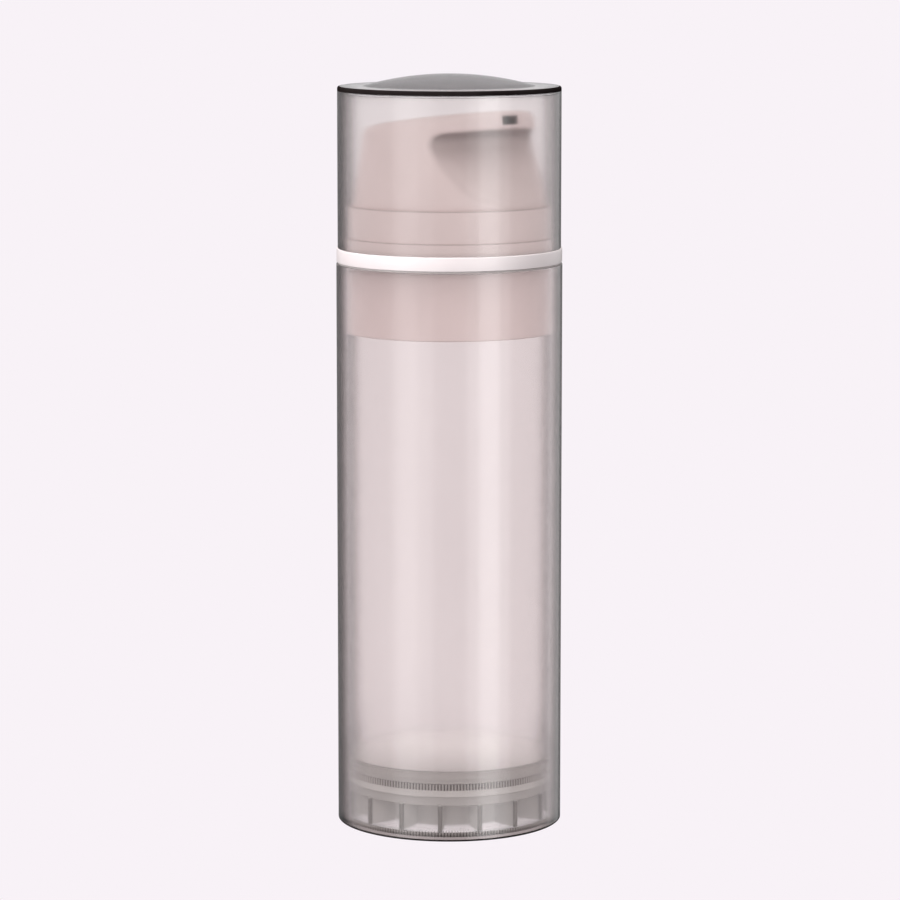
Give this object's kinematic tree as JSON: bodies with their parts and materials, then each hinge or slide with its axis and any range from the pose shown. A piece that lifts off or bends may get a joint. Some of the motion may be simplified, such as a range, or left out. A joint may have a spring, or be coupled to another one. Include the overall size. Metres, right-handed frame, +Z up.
{
  "type": "airless pump bottle",
  "caption": "Slim clear-tinted airless pump bottle: tube with rising piston and ribbed base plug, dispensing pump with a scooped spout head, and a push-on dome cap.",
  "frame": {"origin": "centre of the ring that the bottle stands on", "axes": "+Z up along the tube, spout towards -Y, +X to the right seen from the spout's side"},
  "size_m": [0.035, 0.035, 0.1167],
  "materials": {
    "smoke_clear": "clear tinted, satin moulded",
    "smoke_base": "clear tinted, satin moulded",
    "frost_piston": "translucent, soft",
    "pale_pink": "satin moulded",
    "natural_white": "moulded",
    "soft_seal": "soft elastomer",
    "steel": "drawn wire"
  },
  "bodies": {
    "bottle": {"bottle_body": "smoke_clear", "base_plug": "smoke_base", "base_disc": "smoke_base", "neck_insert": "pale_pink", "neck_gasket": "soft_seal", "pump_collar": "pale_pink", "pump_cylinder": "natural_white", "inlet_gasket": "soft_seal", "ball_cage": "natural_white", "guide_cap": "natural_white", "return_spring": "steel"},
    "follower": {"follower_piston": "frost_piston"},
    "check_ball": {"inlet_ball": "steel"},
    "plunger": {"stem": "natural_white", "piston_rod": "natural_white"},
    "seal": {"piston_seal": "soft_seal"},
    "head": {"actuator_shell": "pale_pink", "actuator_core": "natural_white", "nozzle_tip": "pale_pink"},
    "cap": {"overcap": "smoke_clear"}
  },
  "joints": [
    {"name": "cap_pull", "type": "slide", "parent": "bottle", "child": "cap", "axis": [0, 0, 1], "range_m": [0, 0.032]},
    {"name": "pump_press", "type": "slide", "parent": "bottle", "child": "plunger", "axis": [0, 0, -1], "range_m": [0, 0.004], "stiffness_N_per_m": 2000, "springref_m": -0.003, "deforming": ["return_spring"]},
    {"name": "head_swivel", "type": "hinge", "parent": "plunger", "child": "head", "pos_m": [0, 0, 0.104], "axis": [0, 0, 1], "continuous": true},
    {"name": "follower_rise", "type": "slide", "parent": "bottle", "child": "follower", "axis": [0, 0, 1], "range_m": [0, 0.065]},
    {"name": "inlet_lift", "type": "slide", "parent": "bottle", "child": "check_ball", "axis": [0, 0, 1], "range_m": [0, 0.0008]},
    {"name": "seal_float", "type": "slide", "parent": "plunger", "child": "seal", "axis": [0, 0, 1], "range_m": [0, 0.0008]}
  ]
}
